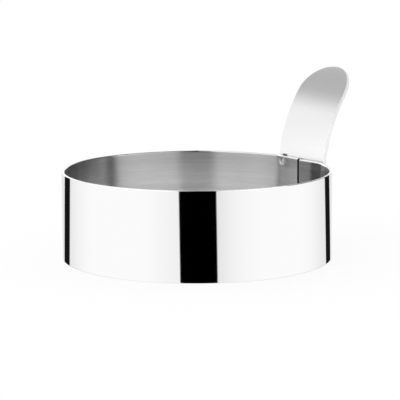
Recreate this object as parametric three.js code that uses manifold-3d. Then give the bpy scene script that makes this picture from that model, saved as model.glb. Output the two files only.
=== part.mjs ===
// Egg ring: a band of stainless strip rolled round until its ends butt, and an upright handle whose
// flat foot is spot-welded to the outside of the band, across that joint, where the wall is flat too.
// Millimetres, +Z up. The band's axis is Z, it stands on z = 0, and the handle is at +Y.

import * as THREE from "three";
import { mergeVertices } from "three/addons/utils/BufferGeometryUtils.js";
import Module from "manifold-3d";

const wasm = await Module();
wasm.setup();

// Band
const innerDiameter = 75;
const bandWall = 0.9;
const bandHeight = 25;
const rimRound = 0.45; // radius of the rim's inner edge, smoothed for the hand
const rimBreak = 0.15; // radius of the rim's outer edge
const seamGap = 0.9; // between the butted ends of the strip
const seatInset = 1.2; // from the foot's side edges in to the flat in the wall under it
const seatBend = 6; // radius along the middle of the wall, where it turns into that flat

// Handle, one sheet: a foot on the band's wall and a tongue above the rim
const handleSheet = 1.0;
const handleWidth = 21.6;
const tongueLength = 30; // along the sheet, from the rim to the tip
const tipLength = 9.7; // rounding of the tip, half an ellipse, a little shorter than a half circle
const tongueBend = 46; // radius of the tongue's outward curve
const rootLean = THREE.MathUtils.degToRad(7); // how far the sheet leans out where it passes the rim
const rootBend = 12; // radius of the bend behind the wall that gives that lean
const footClearance = 8; // from the band's lower edge up to the foot
const footCorner = 2; // radius of the foot's lower corners

// Spot welds, an upper and a lower one on each side of the joint
const weldDiameter = 3;
const weldEdgeInset = 2.8; // from the foot's side edges
const weldRimInset = 1.9; // upper welds, below the rim
const weldFootInset = 3.5; // lower welds, above the foot's lower edge
const weldShare = 0.5; // part of each sheet's thickness that is fused
const markDepth = 0.12; // dish that the welding tips press into the sheets' outer faces

// Fits
const seatGap = 0.1; // between the band and the foot
const weldClear = 0.05; // round the fused metal

// Facets
const bandSteps = 120;
const bendSteps = 6;
const rimSteps = 4;
const handleColumns = 20;
const rootRows = 4;
const tongueRows = 24;
const weldSides = 20;
const weldRings = 8;

// Worked out from the sizes above
const middleRadius = (innerDiameter + bandWall) / 2;
const seatHalf = handleWidth / 2 - seatInset;
const bendCentre = Math.sqrt((middleRadius - seatBend) ** 2 - seatHalf ** 2);
const bendTurn = Math.atan2(seatHalf, bendCentre);
const innerFlat = bendCentre + seatBend - bandWall / 2; // the flat's faces, from the axis
const outerFlat = innerFlat + bandWall;
const footFace = outerFlat + seatGap;
const jointFace = outerFlat + seatGap / 2;
const weldOffset = handleWidth / 2 - weldEdgeInset;
const rootArc = rootBend * rootLean;

const polishedSteel = new THREE.MeshStandardMaterial({ color: 0xd8d9da, roughness: 0.08, metalness: 1 });
const satinSteel = new THREE.MeshStandardMaterial({ color: 0xcfd0d1, roughness: 0.35, metalness: 1 });
const fusedSteel = new THREE.MeshStandardMaterial({ color: 0x9b9893, roughness: 0.55, metalness: 1 });

function toSolid(geometry) {
  const bare = geometry.clone();
  bare.deleteAttribute("normal");
  bare.deleteAttribute("uv");
  const merged = mergeVertices(bare);
  const corners = merged.index.array;
  const triVerts = [];
  for (let i = 0; i < corners.length; i += 3) {
    const [a, b, c] = corners.slice(i, i + 3);
    const collapsed = a === b || b === c || c === a;
    if (!collapsed) triVerts.push(a, b, c);
  }
  const mesh = new wasm.Mesh({
    numProp: 3,
    vertProperties: merged.attributes.position.array,
    triVerts: new Uint32Array(triVerts),
  });
  return new wasm.Manifold(mesh);
}

function toGeometry(solid) {
  const mesh = solid.getMesh();
  const geometry = new THREE.BufferGeometry();
  geometry.setAttribute("position", new THREE.BufferAttribute(mesh.vertProperties, 3));
  geometry.setIndex(new THREE.BufferAttribute(mesh.triVerts, 1));
  geometry.computeVertexNormals();
  return geometry;
}

function cutAway(geometry, cutters) {
  const solid = cutters.reduce((left, cutter) => left.subtract(toSolid(cutter)), toSolid(geometry));
  return toGeometry(solid);
}

// Name of each weld, with its place on a face of the seat at a distance from the band's axis.
function weldPlaces(face) {
  const heights = { upper: bandHeight - weldRimInset, lower: footClearance + weldFootInset };
  const sides = { left: -weldOffset, right: weldOffset };
  const places = {};
  for (const [level, height] of Object.entries(heights)) {
    for (const [side, across] of Object.entries(sides)) {
      places[`weld_${level}_${side}`] = new THREE.Vector3(across, face, height);
    }
  }
  return places;
}

// Fused metal of one weld, a lens from inside the band's wall to inside the handle's sheet.
function weldGeometry(clear = 0) {
  const radius = weldDiameter / 2 + clear;
  const inward = seatGap / 2 + weldShare * bandWall + clear;
  const outward = seatGap / 2 + weldShare * handleSheet + clear;
  const profile = [];
  for (let i = 0; i <= weldRings; i++) {
    const angle = Math.PI * (i / weldRings - 0.5);
    const reach = angle < 0 ? inward : outward;
    profile.push(new THREE.Vector2(radius * Math.cos(angle), reach * Math.sin(angle)));
  }
  return new THREE.LatheGeometry(profile, weldSides);
}

// What a welding tip presses in: the face is at y = 0, the metal below it.
function markGeometry() {
  const radius = weldDiameter / 2;
  const dishRadius = (radius ** 2 + markDepth ** 2) / (2 * markDepth);
  const dishTurn = Math.asin(radius / dishRadius);
  const profile = [];
  for (let i = 0; i <= weldRings / 2; i++) {
    const angle = dishTurn * (2 * i / weldRings);
    const rise = dishRadius * (1 - Math.cos(angle));
    profile.push(new THREE.Vector2(dishRadius * Math.sin(angle), rise - markDepth));
  }
  profile.push(new THREE.Vector2(radius, radius), new THREE.Vector2(0, radius));
  return new THREE.LatheGeometry(profile, weldSides);
}

function placed(geometry, place) {
  return geometry.translate(place.x, place.y, place.z);
}

function weldCuts() {
  return Object.values(weldPlaces(jointFace)).map((place) => placed(weldGeometry(weldClear), place));
}

// The wall in plan, clockwise from one end of the strip to the other, at an offset from its middle.
function wallLine(offset) {
  const up = Math.PI / 2;
  const bend = seatBend + offset;
  const round = middleRadius + offset;
  const rightBend = new THREE.EllipseCurve(seatHalf, bendCentre, bend, bend, up, up - bendTurn, true);
  const circle = new THREE.EllipseCurve(0, 0, round, round, up - bendTurn, up + bendTurn, true);
  const leftBend = new THREE.EllipseCurve(-seatHalf, bendCentre, bend, bend, up + bendTurn, up, true);
  return [
    new THREE.Vector2(seamGap / 2, bendCentre + bend),
    ...rightBend.getPoints(bendSteps),
    ...circle.getPoints(bandSteps).slice(1, -1),
    ...leftBend.getPoints(bendSteps),
    new THREE.Vector2(-seamGap / 2, bendCentre + bend),
  ];
}

// The strip's section: each corner's offset from the wall's middle, and its height.
function stripSection() {
  const half = bandWall / 2;
  const up = Math.PI / 2;
  const corner = (across, radius, from, to) =>
    new THREE.EllipseCurve(across, bandHeight - radius, radius, radius, from, to).getPoints(rimSteps);
  return [
    new THREE.Vector2(half, 0),
    ...corner(half - rimBreak, rimBreak, 0, up),
    ...corner(rimRound - half, rimRound, up, 2 * up),
    new THREE.Vector2(-half, 0),
  ];
}

// The section carried along the wall, with a cut end at each side of the joint.
function rolledStrip() {
  const section = stripSection();
  const lines = section.map((corner) => wallLine(corner.x));
  const points = lines.flatMap((line, row) =>
    line.map((point) => new THREE.Vector3(point.x, point.y, section[row].y)));
  const rows = section.length;
  const perRow = lines[0].length;
  const corners = [];
  for (let row = 0; row < rows; row++) {
    const low = row * perRow;
    const high = ((row + 1) % rows) * perRow;
    for (let column = 0; column + 1 < perRow; column++) {
      corners.push(low + column, high + column, high + column + 1);
      corners.push(low + column, high + column + 1, low + column + 1);
    }
  }
  for (let row = 1; row + 1 < rows; row++) {
    const low = row * perRow;
    const high = low + perRow;
    corners.push(0, high, low);
    corners.push(perRow - 1, low + perRow - 1, high + perRow - 1);
  }
  const geometry = new THREE.BufferGeometry().setFromPoints(points);
  geometry.setIndex(corners);
  return geometry;
}

function ringBand() {
  const marks = Object.values(weldPlaces(innerFlat)).map((place) =>
    placed(markGeometry().rotateZ(Math.PI), place));
  return cutAway(rolledStrip(), [...weldCuts(), ...marks]);
}

// The handle's inner face along its middle: how far it leans out, how far out it is and how high.
function middleLine(along) {
  const upright = Math.min(along + rootArc, 0);
  const rootTurn = THREE.MathUtils.clamp((along + rootArc) / rootBend, 0, rootLean);
  const lean = rootTurn + Math.max(along, 0) / tongueBend;
  return {
    lean,
    out: footFace + rootBend * (1 - Math.cos(rootTurn))
      + tongueBend * (Math.cos(rootTurn) - Math.cos(lean)),
    height: bandHeight - rootArc + upright + rootBend * Math.sin(rootTurn)
      + tongueBend * (Math.sin(lean) - Math.sin(rootTurn)),
  };
}

// A point of the formed sheet: along it from the rim, across from its middle, deep from its inner face.
function sheetPoint(along, across, deep) {
  const { lean, out, height } = middleLine(along);
  return new THREE.Vector3(across, out + deep * Math.cos(lean), height - deep * Math.sin(lean));
}

// The blank's outline: the foot's lower edge with its round corners, and the round tip.
function footEdge(across) {
  const intoCorner = Math.max(Math.abs(across) - (handleWidth / 2 - footCorner), 0);
  return footClearance - bandHeight + footCorner - Math.sqrt(Math.max(footCorner ** 2 - intoCorner ** 2, 0));
}

function tipRise(across) {
  return tipLength * Math.sqrt(Math.max(1 - (2 * across / handleWidth) ** 2, 0));
}

// Rows run up the sheet: the foot's edge, the root bend up to the rim, and then lines that arch more
// and more to the tip.
function rowAlong(row, across) {
  if (row === 0) return footEdge(across);
  if (row <= rootRows) return rootArc * ((row - 1) / rootRows - 1);
  const share = (row - 1 - rootRows) / tongueRows;
  return share * (tongueLength - tipLength) + share ** 3 * tipRise(across);
}

function handleBlank() {
  const rows = rootRows + tongueRows + 2;
  const perRow = handleColumns + 1;
  const perFace = rows * perRow;
  const points = [];
  for (const deep of [0, handleSheet]) {
    for (let row = 0; row < rows; row++) {
      for (let column = 0; column <= handleColumns; column++) {
        const across = (handleWidth / 2) * Math.sin(Math.PI * (column / handleColumns - 0.5));
        points.push(sheetPoint(rowAlong(row, across), across, deep));
      }
    }
  }
  const corners = [];
  const quad = (a, b, c, d) => corners.push(a, b, c, a, c, d);
  for (let row = 0; row + 1 < rows; row++) {
    for (let column = 0; column < handleColumns; column++) {
      const low = row * perRow + column;
      const high = low + perRow;
      quad(low, low + 1, high + 1, high);
      quad(perFace + low, perFace + high, perFace + high + 1, perFace + low + 1);
    }
  }
  const edge = (a, b) => quad(a, perFace + a, perFace + b, b);
  for (let column = 0; column < handleColumns; column++) {
    const top = (rows - 1) * perRow + column;
    edge(column, column + 1);
    edge(top + 1, top);
  }
  for (let row = 0; row + 1 < rows; row++) {
    const low = row * perRow;
    edge(low + perRow, low);
    edge(low + handleColumns, low + perRow + handleColumns);
  }
  const geometry = new THREE.BufferGeometry().setFromPoints(points);
  geometry.setIndex(corners);
  return geometry;
}

function handle() {
  const outerFace = footFace + handleSheet;
  const marks = Object.values(weldPlaces(outerFace)).map((place) => placed(markGeometry(), place));
  return cutAway(handleBlank(), [...weldCuts(), ...marks]);
}

function addPiece(group, name, geometry, material) {
  const piece = new THREE.Mesh(geometry, material);
  piece.name = name;
  group.add(piece);
}

const eggRing = new THREE.Group();
addPiece(eggRing, "ring_band", ringBand(), polishedSteel);
addPiece(eggRing, "handle", handle(), satinSteel);
for (const [name, place] of Object.entries(weldPlaces(jointFace))) {
  addPiece(eggRing, name, placed(weldGeometry(), place), fusedSteel);
}

export default eggRing;
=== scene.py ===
import math
import bmesh
import bpy
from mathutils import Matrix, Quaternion, Vector


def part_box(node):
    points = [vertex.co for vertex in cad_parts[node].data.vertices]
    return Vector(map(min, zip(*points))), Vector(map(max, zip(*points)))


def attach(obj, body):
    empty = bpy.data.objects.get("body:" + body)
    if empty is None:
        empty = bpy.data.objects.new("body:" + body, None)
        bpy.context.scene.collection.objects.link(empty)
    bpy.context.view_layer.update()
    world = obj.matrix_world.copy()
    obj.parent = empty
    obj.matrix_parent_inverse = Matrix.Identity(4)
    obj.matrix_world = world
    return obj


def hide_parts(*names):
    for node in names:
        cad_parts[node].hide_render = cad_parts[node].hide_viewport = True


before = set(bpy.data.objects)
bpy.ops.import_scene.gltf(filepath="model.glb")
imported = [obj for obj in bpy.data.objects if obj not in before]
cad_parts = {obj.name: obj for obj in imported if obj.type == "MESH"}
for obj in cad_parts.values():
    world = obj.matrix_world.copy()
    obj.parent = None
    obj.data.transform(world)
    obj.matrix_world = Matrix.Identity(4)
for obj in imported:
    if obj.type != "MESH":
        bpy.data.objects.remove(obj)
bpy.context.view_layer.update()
mm = 0.001
tiny = 0.01 * mm  # places closer than this count as one
print("frame loaded:", ", ".join(sorted(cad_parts)))


class Wire:  # one socket of a node tree; sums on it become Math nodes
    def __init__(self, tree, socket=None):
        self.tree = tree
        self.socket = socket

    def node(self, kind, settings=None, inputs=None, out=0):
        made = self.tree.nodes.new("ShaderNode" + kind)
        for name, value in (settings or {}).items():
            if name == "stops":  # places and colours along a ramp
                setStops(made.color_ramp, value)
            else:
                setattr(made, name, value)
        for name, value in (inputs or {}).items():
            if isinstance(value, Wire):
                self.tree.links.new(value.socket, made.inputs[name])
            else:
                made.inputs[name].default_value = value
        return Wire(self.tree, made.outputs[out] if made.outputs else None)

    def maths(self, operation, *values):
        return self.node("Math", {"operation": operation}, dict(enumerate(values)))

    def __add__(self, other):
        return self.maths("ADD", self, other)

    __radd__ = __add__

    def __sub__(self, other):
        return self.maths("SUBTRACT", self, other)

    def __rsub__(self, other):
        return self.maths("SUBTRACT", other, self)

    def __mul__(self, other):
        return self.maths("MULTIPLY", self, other)

    __rmul__ = __mul__

    def __truediv__(self, other):
        return self.maths("DIVIDE", self, other)

    def rise(self, low, high):  # 0 up to low, 1 from high on, smooth between
        ends = {"Value": self, "From Min": low, "From Max": high}
        return self.node("MapRange", {"interpolation_type": "SMOOTHSTEP"}, ends)

    def stretched(self, across, up):  # coordinates scaled by across in x and y, by up in z
        return self.node("VectorMath", {"operation": "MULTIPLY"}, {0: self, 1: (across, across, up)})

    def noise(self, detail=2.0, roughness=0.5):
        inputs = {"Vector": self, "Scale": 1.0, "Detail": detail, "Roughness": roughness}
        return self.node("TexNoise", {}, inputs)

    def along(self, axis):  # how far a direction goes along an axis
        return self.node("VectorMath", {"operation": "DOT_PRODUCT"}, {0: self, 1: axis}, 1)

    def apart(self, point):  # how far a place is from a point
        return self.node("VectorMath", {"operation": "DISTANCE"}, {0: self, 1: point}, 1)

    def blend(self, first, second):  # two colours, with this value as the share of the second
        return self.node("Mix", {"data_type": "RGBA"}, {0: self, 6: first, 7: second}, 2)


def setStops(ramp, stops):
    ramp.interpolation = "LINEAR"
    while len(ramp.elements) < len(stops):
        ramp.elements.new(1.0)
    for element, (position, level) in zip(ramp.elements, stops):
        element.position = position
        element.color = (level, level, level, 1.0)


def grey(level, warmth=0.0):  # warmth shifts a grey towards straw
    return (level * (1 + warmth), level, level * (1 - warmth), 1.0)


def newFinish(name):
    finish = bpy.data.materials.new(name)
    finish.use_nodes = True
    finish.node_tree.nodes.clear()
    return finish, Wire(finish.node_tree)


def steel(start, finish, inputs):
    shader = start.node("BsdfPrincipled", {}, {"Metallic": 1.0, **inputs})
    start.node("OutputMaterial", {}, {"Surface": shader})
    return finish


def place(start):
    return start.node("TexCoord", {}, {}, 3)  # Object coordinates, in metres


def axes(start):  # across the seam, out towards the handle, and up
    return [place(start).along(axis) for axis in ((1, 0, 0), (0, 1, 0), (0, 0, 1))]


spreadUpright = 0.25  # turn of the anisotropy, so that light spreads across the rolled lines

polish = dict(  # noise sizes, here and below, are cells per metre round the ring and up it
    colour=grey(0.96), haze=0.035, hazeSpread=0.008, scratches=(30.0, 2200.0),
    smudgeSize=9.0 * mm, smudgeRise=(0.4, 0.8),
)


def polishedSteel():
    finish, start = newFinish("polishedSteel")
    smudges = place(start).stretched(1 / polish["smudgeSize"], 1 / polish["smudgeSize"]).noise(3.0)
    hairlines = place(start).stretched(*polish["scratches"]).noise(1.0)
    roughness = polish["haze"] + polish["hazeSpread"] * smudges.rise(*polish["smudgeRise"]) * hairlines
    return steel(start, finish, {"Base Color": polish["colour"], "Roughness": roughness})


satin = dict(
    # painted shade: the inner wall's colour darkens towards the rim
    colour=grey(0.78), rimShadeColour=grey(0.48), rimShadeFade=(12 * mm, 26 * mm), darkColour=grey(0.12), streak=0.2,
    grain=0.275, grainSpread=0.03, stretch=1.0,
    lines=[  # rolled into the strip: length, pitch, softness and share of the pattern
        dict(length=45 * mm, pitch=1.0 * mm, soft=0.15, share=0.45),
        dict(length=45 * mm, pitch=mm / 2.6, soft=0.2, share=0.3),
        dict(length=3.5 * mm, pitch=mm / 1.6, soft=0.15, share=0.25),
    ],
    seatFrom=(25 * mm, 30 * mm),  # along y; the next two bound the seat's half left of the seam
    leftFrom=(-11 * mm, -9.5 * mm), leftTo=(-0.4 * mm, 0.4 * mm),
    paintedDim=0.4, paintedDimFrom=(0.4 * mm, 0.7 * mm),  # painted shade on the half right of the seam
    # deeper painted shade farther right of the seam
    dark=0.5, paintedDarkFrom=(4.8 * mm, 7.2 * mm), paintedDarkTo=(10 * mm, 12.5 * mm),
    # painted shadow: a dark spot on the inner wall beside the left weld mark
    paintedShadow=0.2, paintedShadowAt=(-6.0 * mm, 36.0 * mm, 23.0 * mm), paintedShadowReach=(0.8 * mm, 2.4 * mm),
    clear=0.7, clearRise=(20.0 * mm, 23.5 * mm),  # the painted rim shade spares the left half below this height
    # painted highlight: a white spot on the left weld mark
    paintedHighlight=1.0, paintedHighlightAt=(-7.3 * mm, 36.3 * mm, 23.5 * mm), paintedHighlightReach=(0.7 * mm, 1.4 * mm),
    paintedHighlightColour=grey(1.0),
    paintedCreaseShade=0.5, creaseShadeLines=(800.0, 60.0), creaseShadeRise=(0.42, 0.62),  # upright dark lines in the bend, painted shade of creases
    creaseShadeFrom=(9.5 * mm, 10.5 * mm), creaseShadeTo=(15 * mm, 20 * mm),
)


def rolledLines(start):  # they run round the ring
    pattern = 0.0
    for line in satin["lines"]:
        streaks = place(start).stretched(1 / line["length"], 1 / line["pitch"]).noise(3.0, 0.6)
        pattern = streaks.rise(0.5 - line["soft"], 0.5 + line["soft"]) * line["share"] + pattern
    return pattern


def satinSteel():
    finish, start = newFinish("satinSteel")
    lines = rolledLines(start)
    across, out, height = axes(start)
    seat = out.rise(*satin["seatFrom"])
    left = across.rise(*satin["leftFrom"]) * (1 - across.rise(*satin["leftTo"]))
    clear = seat * left * (1 - height.rise(*satin["clearRise"]))
    # painted shade, darker towards the rim, spared on the seat's left half low down
    fade = height.rise(*satin["rimShadeFade"]) * (1 - clear * satin["clear"])
    colour = fade.blend(satin["colour"], satin["rimShadeColour"])
    paintedDim = across.rise(*satin["paintedDimFrom"]) * satin["paintedDim"] + across.rise(*satin["paintedDarkFrom"]) * satin["dark"]
    paintedDim = paintedDim * (1 - across.rise(*satin["paintedDarkTo"])) * seat  # painted shade on the strip's end right of the seam
    # painted shadow beside the left weld mark
    paintedShadow = (1 - place(start).apart(satin["paintedShadowAt"]).rise(*satin["paintedShadowReach"])) * satin["paintedShadow"]
    # painted shade of creases: upright dark lines in the bend
    creaseShadeLines = place(start).stretched(*satin["creaseShadeLines"]).noise(2.0, 0.7).rise(*satin["creaseShadeRise"])
    bent = across.rise(*satin["creaseShadeFrom"]) * (1 - across.rise(*satin["creaseShadeTo"])) * seat
    shade = paintedDim + paintedShadow + lines * satin["streak"] + creaseShadeLines * bent * satin["paintedCreaseShade"]
    colour = shade.blend(colour, satin["darkColour"])
    paintedHighlight = (1 - place(start).apart(satin["paintedHighlightAt"]).rise(*satin["paintedHighlightReach"])) * satin["paintedHighlight"]
    colour = paintedHighlight.blend(colour, satin["paintedHighlightColour"])  # painted highlight on the left weld mark's right stroke
    roughness = satin["grain"] + satin["grainSpread"] * lines
    return steel(start, finish, {
        "Base Color": colour, "Roughness": roughness,
        "Anisotropic": satin["stretch"], "Anisotropic Rotation": spreadUpright,
    })


grip = dict(
    sheet=1.0 * mm, width=21.6 * mm, tongue=30 * mm, tip=9.7 * mm, bend=46 * mm,
    rootLean=math.radians(7), rootBend=12 * mm,
    footClearance=8 * mm, footCorner=2 * mm, seatGap=0.1 * mm,
    edgeRound=0.16 * mm, edgeSegments=4, support=0.1 * mm,
    tipSegments=28, cornerSegments=8, joinWithin=0.005 * mm, flatFacing=0.9, faceFacing=0.99,
    sliceAlong=0.9 * mm, sliceAcross=2.7 * mm, markSlice=0.3 * mm,
    markLine=0.5 * mm, markLimit=0.6 * mm,  # above the rim, where the slices for the marks end
    brushSpace=0.1,  # texture space, centred on the ring's axis, so the brushing runs round it
    colour=grey(0.91), darkColour=grey(0.1), grain=0.13, grainSpread=0.03, stretch=0.7,
    brush=(60.0, 2500.0), streak=0.06, innerFace=(0.4 * mm, 0.7 * mm),
    # painted shadow: a dark wedge on the handle's face to the wall, just above the rim by the left weld
    paintedShadow=0.9, paintedShadowAt=-8.0 * mm, paintedShadowReach=(0.7 * mm, 1.5 * mm), paintedShadowRise=(0.35 * mm, 0.6 * mm),
    shadowLine=0.25, shadowRise=(0.05 * mm, 0.3 * mm),
    # painted highlight: the edge near white at little metal
    edgeHighlightColour=grey(0.9), edgeTip=grey(0.78), edgeFade=(8 * mm, 18 * mm), edgeGrain=0.62, edgeMetal=0.1,
    edgeDrag=3000.0, edgeSpread=0.1,
)


def gripSteel():
    finish, start = newFinish("gripSteel")
    lines = place(start).stretched(*grip["brush"]).noise(3.0, 0.6)
    across, out, height = axes(start)
    inner = 1 - out.rise(*[outerFlat + depth for depth in grip["innerFace"]])  # the face to the wall
    above = height - bandHeight
    line = (1 - above.rise(*grip["shadowRise"])) * grip["shadowLine"]
    # painted shadow of the gap between the rim and the handle, by the left weld
    beside = across.maths("ABSOLUTE", across - grip["paintedShadowAt"])
    paintedShadow = (1 - beside.rise(*grip["paintedShadowReach"])) * (1 - above.rise(*grip["paintedShadowRise"]))
    shade = (line + paintedShadow * grip["paintedShadow"]) * inner + lines * grip["streak"]
    colour = shade.blend(grip["colour"], grip["darkColour"])
    roughness = grip["grain"] + grip["grainSpread"] * lines
    return steel(start, finish, {
        "Base Color": colour, "Roughness": roughness,
        "Anisotropic": grip["stretch"], "Anisotropic Rotation": spreadUpright,
    })


def edgeSteel():  # the handle's blanked edge, rough; its near-white colour at little metal is a painted highlight, a little darker towards the tip
    finish, start = newFinish("edgeSteel")
    drag = place(start).stretched(grip["edgeDrag"], grip["edgeDrag"]).noise(2.0)
    above = place(start).along((0, 0, 1)) - bandHeight
    colour = above.rise(*grip["edgeFade"]).blend(grip["edgeHighlightColour"], grip["edgeTip"])
    roughness = grip["edgeGrain"] + grip["edgeSpread"] * drag
    return steel(start, finish, {
        "Base Color": colour, "Roughness": roughness, "Metallic": grip["edgeMetal"],
    })


fused = dict(
    colour=grey(0.6, 0.03), tint=grey(0.42, 0.08), tintRise=(0.35, 0.65),
    grain=0.45, grainSpread=0.2, mottle=1500.0,
)


def fusedSteel():
    finish, start = newFinish("fusedSteel")
    mottle = place(start).stretched(fused["mottle"], fused["mottle"]).noise(4.0)
    colour = mottle.rise(*fused["tintRise"]).blend(fused["colour"], fused["tint"])
    roughness = fused["grain"] + fused["grainSpread"] * mottle
    return steel(start, finish, {"Base Color": colour, "Roughness": roughness})


sheared = dict(
    # near-black colours: painted shade in the seam
    colour=grey(0.12), tint=grey(0.06), tintRise=(0.3, 0.7),
    grain=0.5, grainSpread=0.15, drag=(4000.0, 300.0),
)


def shearedSteel():  # the strip's cut ends: rough sheared steel, painted near black as the shade in the seam
    finish, start = newFinish("shearedSteel")
    drag = place(start).stretched(*sheared["drag"]).noise(3.0)
    colour = drag.rise(*sheared["tintRise"]).blend(sheared["colour"], sheared["tint"])
    roughness = sheared["grain"] + sheared["grainSpread"] * drag
    return steel(start, finish, {"Base Color": colour, "Roughness": roughness})


meshing = dict(joinWithin=0.0005 * mm, sharp=math.radians(40))


def addPiece(name, bm, finishes):
    bmesh.ops.remove_doubles(bm, verts=bm.verts, dist=meshing["joinWithin"])
    bmesh.ops.recalc_face_normals(bm, faces=bm.faces)
    mesh = bpy.data.meshes.new(name)
    bm.to_mesh(mesh)
    bm.free()
    mesh.shade_smooth()
    mesh.set_sharp_from_angle(angle=meshing["sharp"])
    for finish in finishes:
        mesh.materials.append(finish)
    piece = bpy.data.objects.new(name, mesh)
    bpy.context.scene.collection.objects.link(piece)
    print(name, len(mesh.vertices), "vertices")
    return piece


def everything(bm):
    return bm.verts[:] + bm.edges[:] + bm.faces[:]


def slices(low, high, step):
    count = max(1, round((high - low) / step))
    return [low + (high - low) * i / count for i in range(1, count)]


band = dict(
    innerRadius=37.5 * mm, wall=0.9 * mm, seam=0.9 * mm, seatHalf=9.6 * mm, seatBend=6 * mm,
    rimRound=0.45 * mm, edgeRound=0.15 * mm, edgeSegments=5, support=0.03 * mm,
    sliceUp=0.5 * mm, seatSteps=34, bendSteps=12, roundSteps=260,
    markReach=1.75 * mm, markFloor=0.5, markDepth=0.25 * mm, markSlice=0.25 * mm, markRise=0.6 * mm,
    markSpan=1.3, markEdge=1.0 * mm, faintMark=0.25,
    seatMargin=0.5 * mm, seatSpan=1.3, drop=0.15 * mm, rimPress=0.15 * mm, pressReach=1.6 * mm,
    swell=0.18 * mm, swellAt=186.0, swellReach=50.0, swellLength=70.0,
    insideFacing=0.8, insideLevel=0.2, endFacing=0.9,  # limits on a face's normal, to pick its finish
)
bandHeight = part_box("ring_band")[1].z
middleRadius = band["innerRadius"] + band["wall"] / 2
bendCentre = math.sqrt((middleRadius - band["seatBend"]) ** 2 - band["seatHalf"] ** 2)
bendTurn = math.atan2(band["seatHalf"], bendCentre)
innerFlat = bendCentre + band["seatBend"] - band["wall"] / 2  # the wall's flat faces, from the axis
outerFlat = innerFlat + band["wall"]
markHalf = band["markSpan"] * band["markReach"]


def weldSpots():
    spots = []
    for name in sorted(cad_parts):
        if name.startswith("weld_"):
            low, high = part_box(name)
            spots.append((low + high) / 2)
    return spots


welds = weldSpots()


def roundCorners(bm, corners, radius, segments):
    bmesh.ops.bevel(
        bm, geom=corners, offset=radius, affect="VERTICES",
        segments=segments, profile=0.5, material=-1, clamp_overlap=False,
    )


def bandSection(bm):  # the strip's cut end beside the seam, with its four corners rounded
    bmesh.ops.create_grid(bm, x_segments=1, y_segments=1, size=0.5)
    for v in bm.verts:
        out, up = v.co.x + 0.5, v.co.y + 0.5
        v.co = Vector((band["seam"] / 2, innerFlat + band["wall"] * out, bandHeight * up))
    middle = innerFlat + band["wall"] / 2
    rim = [v for v in bm.verts if v.co.y < middle and v.co.z > bandHeight / 2]
    rest = [v for v in bm.verts if v not in rim]
    roundCorners(bm, rim, band["rimRound"], band["edgeSegments"])
    roundCorners(bm, rest, band["edgeRound"], band["edgeSegments"])
    low, high = band["edgeRound"] + band["support"], bandHeight - band["rimRound"] - band["support"]
    heights = [low, *slices(low, high, band["sliceUp"]), high, bandHeight - low]
    for height in {spot.z for spot in welds}:  # finer where the welds leave their marks
        heights += slices(height - markHalf, min(height + markHalf, high), band["markSlice"])
    for height in heights:
        bmesh.ops.bisect_plane(bm, geom=everything(bm), plane_co=(0, 0, height), plane_no=(0, 0, 1))


def smooth(share):
    share = min(max(share, 0), 1)
    return share * share * (3 - 2 * share)


def weldMark(across, height, spot):  # how far a welding tip pressed the sheet in: a flat dish
    away = math.hypot(across - spot.x, height - spot.z - band["markRise"]) / band["markReach"]
    if away > 1:
        return 0
    dish = smooth((1 - away) / (1 - band["markFloor"]))
    return band["markDepth"] * dish * smooth((bandHeight - height) / band["markEdge"])


def pressSeat(bm):  # weld marks inside the wall, the rim pressed in over one, one end of the strip low
    weldAcross = max(spot.x for spot in welds)
    upper = max(spot.z for spot in welds)
    for v in bm.verts:
        if v.co.y < innerFlat - band["seatMargin"] or abs(v.co.x) > band["seatSpan"] * weldAcross:
            continue
        across, height = v.co.x, v.co.z
        if v.co.y < innerFlat + tiny:
            depth = 1.0 if across < 0 else band["faintMark"]
            v.co.y += depth * max(weldMark(across, height, spot) for spot in welds)
        if across > 0:
            v.co.z -= band["drop"] * smooth(1 - across / weldAcross) * smooth(height / upper)
        else:
            beside = (across + weldAcross) / band["pressReach"]
            share = smooth((height - upper) / (bandHeight - upper))
            v.co.y -= band["rimPress"] * math.exp(-beside ** 2) * share


def easeRound(bm):  # rolled strip is never quite round: a slow wave a quarter turn from the seat
    for v in bm.verts:
        turn = math.degrees(math.atan2(v.co.y, v.co.x)) % 360 - band["swellAt"]
        wave = math.sin(2 * math.pi * turn / band["swellLength"])
        outward = Vector((v.co.x, v.co.y, 0)).normalized()
        v.co += outward * band["swell"] * wave * smooth(1 - abs(turn) / band["swellReach"])


def ringBand():
    bm = bmesh.new()
    bandSection(bm)
    section = everything(bm)
    straight = (band["seatHalf"] - band["seam"] / 2) / band["seatSteps"]
    corner = Vector((band["seatHalf"], bendCentre, 0))
    runs = [  # centre, whole turn, straight move per step, and steps, from the seam round to the seam
        (Vector(), 0, straight, band["seatSteps"]),
        (corner, bendTurn, 0, band["bendSteps"]),
        (Vector(), 2 * math.pi - 2 * bendTurn, 0, band["roundSteps"]),
        (corner * Vector((-1, 1, 1)), bendTurn, 0, band["bendSteps"]),
        (Vector(), 0, straight, band["seatSteps"]),
    ]
    for centre, turn, move, steps in runs:
        made = bmesh.ops.spin(
            bm, geom=section, cent=centre, axis=(0, 0, -1), dvec=(move, 0, 0), angle=turn, steps=steps,
        )
        section = made["geom_last"]
    bmesh.ops.recalc_face_normals(bm, faces=bm.faces)
    for face in bm.faces:
        middle = face.calc_center_median()
        outward = Vector((middle.x, middle.y, 0)).normalized()
        upright = abs(face.normal.z) < band["insideLevel"]
        inside = upright and face.normal.dot(outward) < -band["insideFacing"]
        atSeam = middle.y > 0 and abs(middle.x) < band["seam"]
        face.material_index = 1 if inside else 0
        if atSeam and abs(face.normal.x) > band["endFacing"]:
            face.material_index = 2
    pressSeat(bm)
    easeRound(bm)
    return addPiece("ringBand", bm, [polishedSteel(), satinSteel(), shearedSteel()])


rootArc = grip["rootBend"] * grip["rootLean"]


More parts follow.
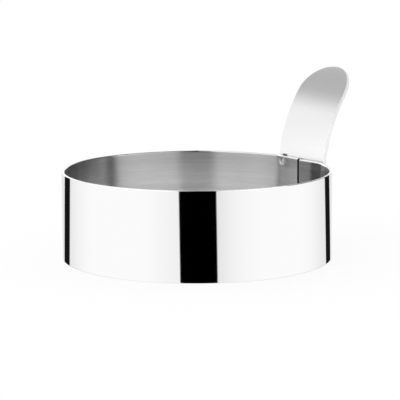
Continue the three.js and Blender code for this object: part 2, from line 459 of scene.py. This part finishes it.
def middleLine(along):  # the handle's inner face along its middle: lean, distance out, height
    rootTurn = min(max((along + rootArc) / grip["rootBend"], 0), grip["rootLean"])
    lean = rootTurn + max(along, 0) / grip["bend"]
    out = outerFlat + grip["seatGap"] + grip["rootBend"] * (1 - math.cos(rootTurn))
    out += grip["bend"] * (math.cos(rootTurn) - math.cos(lean))
    height = bandHeight - rootArc + min(along + rootArc, 0) + grip["rootBend"] * math.sin(rootTurn)
    height += grip["bend"] * (math.sin(lean) - math.sin(rootTurn))
    return lean, out, height


def formed(across, along, deep):  # a point of the flat blank after it is pressed to shape
    lean, out, height = middleLine(along)
    return Vector((across, out + deep * math.cos(lean), height - deep * math.sin(lean)))


def cornersOf(part):
    return [part] if isinstance(part, bmesh.types.BMVert) else part.verts


def cut(bm, axis, places, below=None):  # split the blank across an axis, or only its part below a line
    for spot in places:
        parts = everything(bm)
        if below is not None:
            parts = [part for part in parts if max(v.co.y for v in cornersOf(part)) < below]
        bmesh.ops.bisect_plane(bm, geom=parts, plane_co=Vector(axis) * spot, plane_no=axis)


def gripBlank(bm):
    half = grip["width"] / 2
    foot = grip["footClearance"] - bandHeight
    bmesh.ops.create_grid(bm, x_segments=1, y_segments=1, size=0.5)
    for v in bm.verts:
        v.co = Vector((v.co.x * grip["width"], foot + (grip["tongue"] - foot) * (v.co.y + 0.5), 0))
    roundCorners(bm, [v for v in bm.verts if v.co.y > 0], half, grip["tipSegments"])
    for v in bm.verts:  # the half circle becomes a slightly shorter half ellipse
        below = grip["tongue"] - v.co.y
        if below < half + tiny:
            v.co.y = grip["tongue"] - below * grip["tip"] / half
    footCorners = [v for v in bm.verts if v.co.y < foot + tiny]
    roundCorners(bm, footCorners, grip["footCorner"], grip["cornerSegments"])
    bmesh.ops.remove_doubles(bm, verts=bm.verts, dist=grip["joinWithin"])
    made = bmesh.ops.extrude_face_region(bm, geom=bm.faces[:])
    raised = [part for part in made["geom"] if isinstance(part, bmesh.types.BMVert)]
    bmesh.ops.translate(bm, verts=raised, vec=(0, 0, grip["sheet"]))
    bmesh.ops.recalc_face_normals(bm, faces=bm.faces)
    flats = [face for face in bm.faces if abs(face.normal.z) > grip["flatFacing"]]
    rims = [edge for edge in bm.edges if abs(edge.verts[0].co.z - edge.verts[1].co.z) < tiny]
    bmesh.ops.inset_individual(bm, faces=flats, thickness=grip["edgeRound"] + grip["support"])
    bmesh.ops.bevel(
        bm, geom=rims, offset=grip["edgeRound"], affect="EDGES",
        segments=grip["edgeSegments"], profile=0.5, material=-1,
    )
    cut(bm, (0, 1, 0), [grip["markLine"]])
    for middle in {spot.x for spot in welds}:  # finer where the welds leave their marks
        rows = slices(middle - markHalf, middle + markHalf, grip["markSlice"])
        cut(bm, (1, 0, 0), rows, grip["markLimit"])
    for middle in {spot.z - bandHeight for spot in welds}:
        rows = slices(middle - markHalf, min(middle + markHalf, 0), grip["markSlice"])
        cut(bm, (0, 1, 0), rows)
    cut(bm, (0, 1, 0), slices(-rootArc, grip["tongue"], grip["sliceAlong"]))
    cut(bm, (1, 0, 0), slices(-half, half, grip["sliceAcross"]))


def handle():
    bm = bmesh.new()
    gripBlank(bm)
    bmesh.ops.recalc_face_normals(bm, faces=bm.faces)
    for face in bm.faces:
        face.material_index = 0 if abs(face.normal.z) > grip["faceFacing"] else 1
    for v in bm.verts:
        outer = v.co.z > grip["sheet"] - tiny
        v.co = formed(*v.co)
        if outer and v.co.z < bandHeight:  # the other welding tip's marks
            v.co.y -= max(weldMark(v.co.x, v.co.z, spot) for spot in welds)
    piece = addPiece("handle_sheet", bm, [gripSteel(), edgeSteel()])
    piece.data.use_auto_texspace = False
    piece.data.texspace_location = (0, 0, 0)
    piece.data.texspace_size = [grip["brushSpace"]] * 3
    return piece


def dressPart():
    wall = ringBand()
    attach(wall, "root")
    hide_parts("ring_band")
    tongue = handle()
    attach(tongue, "root")
    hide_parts("handle")
    weldFinish = fusedSteel()
    for name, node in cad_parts.items():
        if name.startswith("weld_"):
            node.data.materials.clear()
            node.data.materials.append(weldFinish)


studio = dict(
    floorSize=6.0, floorDrop=0.02 * mm, floorGlow=0.8,  # the glow keeps the shadow faint
    patchGap=0.3 * mm, patchSegments=96, patchDrop=0.01 * mm, patchBack=0.1, patchFront=2.5, patchCurve=2.0,
    under=0.5, underColour=grey(0.5), underRise=(-70.0, -25.0),  # a little darker towards the table
    upperRise=(-4.0, 0.0), ceilingRise=(22.5, 31.5), overheadRise=(40.0, 52.0),
    gaps=[  # dark slots in the tent: sides in degrees from the camera, slant per degree down, upper end
        dict(low=-14.6, high=16.4, slant=(0.34, 0.4), soft=0.4, top=(-4.0, 0.0), depth=1.0),
        dict(low=141.0, high=157.4, slant=(2.2, 3.6), soft=0.6, top=(-6.0, -2.0), depth=0.99),
        dict(low=-154.8, high=-137.4, slant=(-2.5, -1.5), soft=0.5, top=(-6.0, -2.0), depth=0.99),
    ],
    gapLow=(-54.0, -42.0), gapMiddle=-10.4, gapSlanted=(-14.0, -7.0),
    walls=[
        (-180, 0.90), (-171, 0.88), (-160, 0.80), (-132, 0.85), (-125, 0.90), (-115, 0.95), (-106, 0.98),
        (-98, 1.0), (-50, 1.0), (-40, 0.99), (-29, 0.95), (-19, 0.92), (0, 0.87), (18, 0.82), (26, 0.89),
        (34, 0.94), (47, 0.98), (58, 1.0), (98, 1.0), (106, 0.98), (115, 0.95), (125, 0.90), (132, 0.85),
        (160, 0.80), (171, 0.88), (180, 0.90),
    ],
    upper=[  # softboxes either side of the dark gap round the camera, darker panels farther back
        (-180, 1.0), (-156, 1.0), (-150, 2.0), (-142, 2.0), (-136, 0.98), (-110, 0.98), (-100, 1.5),
        (-84, 2.0), (-50, 2.0), (-24, 1.5), (-19, 1.2), (-13, 0.0), (14, 0.0), (20, 1.2), (26, 1.6),
        (50, 2.2), (77, 2.2), (86, 0.12), (150, 0.12), (160, 1.0), (180, 1.0),
    ],
    ceiling=[
        (-180, 0.0), (-179.4, 0.0), (-179, 1.1), (-156, 1.1), (-152, 1.8), (-147, 1.8), (-140, 0.49),
        (-95, 0.49), (-80, 1.0), (-19, 1.0), (-13, 0.0), (14, 0.0), (20, 0.5), (76, 0.6), (86, 0.12),
        (150, 0.12), (178.4, 1.0), (178.9, 0.0), (180, 0.0),
    ],
    overhead=[
        (-180, 0.0), (-176, 0.0), (-172, 1.1), (-156, 1.1), (-144, 0.45), (-95, 0.45), (-80, 1.1),
        (-30, 1.1), (-14, 0.0), (25, 0.0), (45, 0.5), (76, 0.7), (86, 0.1), (150, 0.1), (162, 1.1),
        (171, 1.1), (175, 0.0), (180, 0.0),
    ],
)
shot = dict(
    azimuth=56.1, elevation=9.949, distance=0.5309, lens=167.43, sensor=36.0, roll=0.149,
    middle=12.7 * mm, aimRight=0.874 * mm, aimUp=3.375 * mm,
)


def shotAxes():  # level directions to the picture's right and towards the camera
    turned = math.radians(shot["azimuth"])
    right = Vector((math.cos(turned), math.sin(turned), 0))
    return right, Vector((right.y, -right.x, 0))


def panels(around, levels):  # brightness of a band of the tent, by degrees from the camera
    stops = [((degrees + 180) / 360, level) for degrees, level in levels]
    return around.node("ValToRGB", {"stops": stops}, {0: around / 360.0 + 0.5})


def softStudio():  # a white tent with dark slots, seen by reflections; plain white for all else
    world = bpy.data.worlds.new("studio")
    bpy.context.scene.world = world
    world.use_nodes = True
    world.node_tree.nodes.clear()
    world.cycles.sampling_method = "NONE"
    start = Wire(world.node_tree)
    direction = start.node("TexCoord", {}, {}, 0)
    right, toward = [direction.along(axis) for axis in shotAxes()]
    height = direction.along((0, 0, 1))
    around = right.maths("ARCTAN2", right, toward) * (180 / math.pi)
    names = ("walls", "upper", "ceiling", "overhead")
    walls, upper, ceiling, overhead = [panels(around, studio[name]) for name in names]
    lowest, highest = studio["gapSlanted"]
    level = height.maths("ARCSINE", height) * (180 / math.pi)
    below = studio["gapMiddle"] - level.maths("MAXIMUM", level.maths("MINIMUM", level, highest), lowest)
    dark = 0.0
    for gap in studio["gaps"]:
        low = around - below * gap["slant"][0] - gap["low"]
        high = around - below * gap["slant"][1] - gap["high"]
        inside = low.rise(-gap["soft"], gap["soft"]) * (1 - high.rise(-gap["soft"], gap["soft"]))
        dark = inside * (1 - level.rise(*gap["top"])) * gap["depth"] + dark
    dark = dark * level.rise(*studio["gapLow"])
    under = (1 - level.rise(*studio["underRise"])) * studio["under"]
    tent = dark.blend(under.blend(walls, studio["underColour"]), grey(0.0))
    tent = level.rise(*studio["upperRise"]).blend(tent, upper)
    tent = level.rise(*studio["ceilingRise"]).blend(tent, ceiling)
    tent = level.rise(*studio["overheadRise"]).blend(tent, overhead)
    mirrored = start.node("LightPath", {}, {}, 3)  # Is Glossy Ray
    shade = start.node("Background", {}, {"Color": mirrored.blend(grey(1.0), tent), "Strength": 1.0})
    start.node("OutputWorld", {}, {"Surface": shade})
    print("studio:", len(studio["gaps"]), "dark slots in the tent")


def flatSheet(name, bm, drop, finish):
    mesh = bpy.data.meshes.new(name)
    bm.to_mesh(mesh)
    bm.free()
    mesh.materials.append(finish)
    sheet = bpy.data.objects.new(name, mesh)
    sheet.location.z = -drop
    bpy.context.scene.collection.objects.link(sheet)
    print(name, "laid", round(drop / mm, 3), "mm below the ring")
    return sheet


def paleFloor():
    bm = bmesh.new()
    bmesh.ops.create_grid(bm, x_segments=1, y_segments=1, size=studio["floorSize"] / 2)
    finish, start = newFinish("paleFloor")
    lit = start.node("BsdfDiffuse", {}, {"Color": grey(1.0)})
    glow = start.node("Emission", {}, {"Color": grey(1.0), "Strength": 1.0})
    shader = start.node("MixShader", {}, {0: studio["floorGlow"], 1: lit, 2: glow})
    start.node("OutputMaterial", {}, {"Surface": shader})
    floor = flatSheet("floor", bm, studio["floorDrop"], finish)
    floor.visible_glossy = False  # reflections look past it, into the tent


def innerFloor():  # the patch of floor inside the ring, as the wall mirrors it
    bm = bmesh.new()
    radius = innerFlat - studio["patchGap"]
    bmesh.ops.create_circle(bm, cap_ends=True, segments=studio["patchSegments"], radius=radius)
    finish, start = newFinish("innerFloor")
    front = place(start).along(shotAxes()[1]) / (2 * innerFlat) + 0.5
    lit = front.maths("POWER", front, studio["patchCurve"])  # shaded at the back, lit at the front
    colour = lit.blend(grey(studio["patchBack"]), grey(studio["patchFront"]))
    glow = start.node("Emission", {}, {"Color": colour, "Strength": 1.0})
    start.node("OutputMaterial", {}, {"Surface": glow})
    patch = flatSheet("innerFloor", bm, studio["patchDrop"], finish)
    patch.visible_camera = False
    patch.visible_diffuse = False
    patch.visible_shadow = False


def camera():
    right, toward = shotAxes()
    raised = math.radians(shot["elevation"])
    back = toward * math.cos(raised) + Vector((0, 0, math.sin(raised)))
    up = back.cross(right)
    middle = Vector((0, 0, shot["middle"]))
    aim = middle + right * shot["aimRight"] + up * shot["aimUp"]
    data = bpy.data.cameras.new("camera")
    data.sensor_width = shot["sensor"]
    data.lens = shot["lens"]
    view = bpy.data.objects.new("camera", data)
    bpy.context.scene.collection.objects.link(view)
    view.location = middle + back * shot["distance"]
    tilt = Quaternion((0, 0, 1), math.radians(-shot["roll"]))
    view.rotation_euler = ((aim - view.location).to_track_quat("-Z", "Y") @ tilt).to_euler()
    bpy.context.scene.camera = view
    print("camera", shot["distance"], "m from the ring")


dressPart()
softStudio()
paleFloor()
innerFloor()
camera()
bpy.context.scene.view_settings.view_transform = "Standard"
